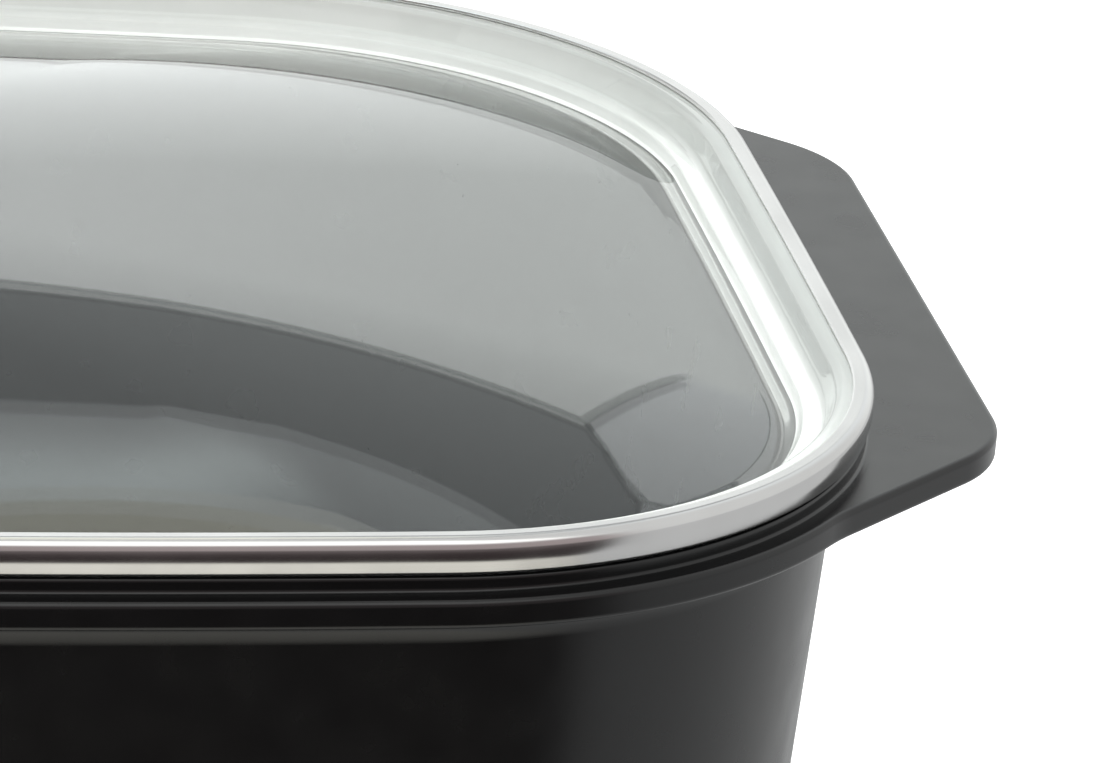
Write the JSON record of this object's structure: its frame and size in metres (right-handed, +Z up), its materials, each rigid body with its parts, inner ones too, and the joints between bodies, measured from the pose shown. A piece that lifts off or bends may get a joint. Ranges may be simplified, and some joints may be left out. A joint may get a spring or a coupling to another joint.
{
  "type": "slow cooker",
  "caption": "Oblong slow cooker with a black cast pot on ear handles, a glass lid with a steel rim and a heated base with a turning dial.",
  "frame": {"origin": "on the table under the middle of the cooker, level with the undersides of the feet", "axes": "+X along the long side to the right, +Y to the back, +Z up; the dial faces -Y"},
  "size_m": [0.3654, 0.2494, 0.2257],
  "materials": {
    "pot_coating": "black satin non-stick coating on cast aluminium",
    "tray_coating": "black satin non-stick coating on cast aluminium",
    "lid_glass": "clear pressed glass",
    "rim_steel": "satin stainless steel",
    "knob_phenolic": "black satin heat-proof moulding",
    "housing_plastic": "black fine-grain moulding",
    "dial_plate": "black printed plate",
    "pointer_white": "white inlay",
    "soft_rubber": "black rubber",
    "seal_silicone": "grey silicone",
    "element_steel": "heat-tinted steel tube",
    "plated_steel": "zinc-plated steel",
    "shield_sheet": "bright sheet",
    "white_ceramic": "white unglazed ceramic",
    "brass": "plain brass",
    "wire_sleeve": "red silicone sleeve",
    "cover_paint": "black painted sheet"
  },
  "bodies": {
    "base": {"base_housing": "housing_plastic", "heating_plate": "tray_coating", "rim_gasket": "seal_silicone", "heating_element": "element_steel", "element_insulators": "white_ceramic", "element_pins": "plated_steel", "element_clamps": "plated_steel", "clamp_screws": "plated_steel", "heat_shield": "shield_sheet", "shield_screws": "plated_steel", "thermostat_body": "white_ceramic", "thermostat_nut": "brass", "dial_plate": "dial_plate", "sensor_strap": "brass", "thermal_fuse": "plated_steel", "fuse_clip": "plated_steel", "terminal_block": "white_ceramic", "supply_wire": "wire_sleeve", "fuse_wire": "wire_sleeve", "element_wire": "wire_sleeve", "return_wire": "wire_sleeve", "bottom_cover": "cover_paint", "tie_screws": "plated_steel", "cord_gland": "housing_plastic", "gland_nut": "housing_plastic", "foot_back_right": "soft_rubber", "foot_back_left": "soft_rubber", "foot_front_left": "soft_rubber", "foot_front_right": "soft_rubber"},
    "pot": {"cooking_pot": "pot_coating"},
    "lid": {"lid_glass": "lid_glass", "lid_rim_band": "rim_steel", "lid_knob": "knob_phenolic", "knob_collar": "rim_steel", "knob_washer": "seal_silicone", "knob_screw": "plated_steel"},
    "dial": {"control_knob": "knob_phenolic", "dial_pointer": "pointer_white", "control_shaft": "plated_steel"}
  },
  "joints": [
    {"name": "pot_lift", "type": "slide", "parent": "base", "child": "pot", "axis": [0, 0, 1], "range_m": [0, 0.14]},
    {"name": "lid_lift", "type": "slide", "parent": "pot", "child": "lid", "axis": [0, 0, 1], "range_m": [0, 0.12]},
    {"name": "dial_turn", "type": "hinge", "parent": "base", "child": "dial", "pos_m": [0, -0.11208, 0.038], "axis": [0, 1, 0], "range_deg": [0, 270]}
  ]
}
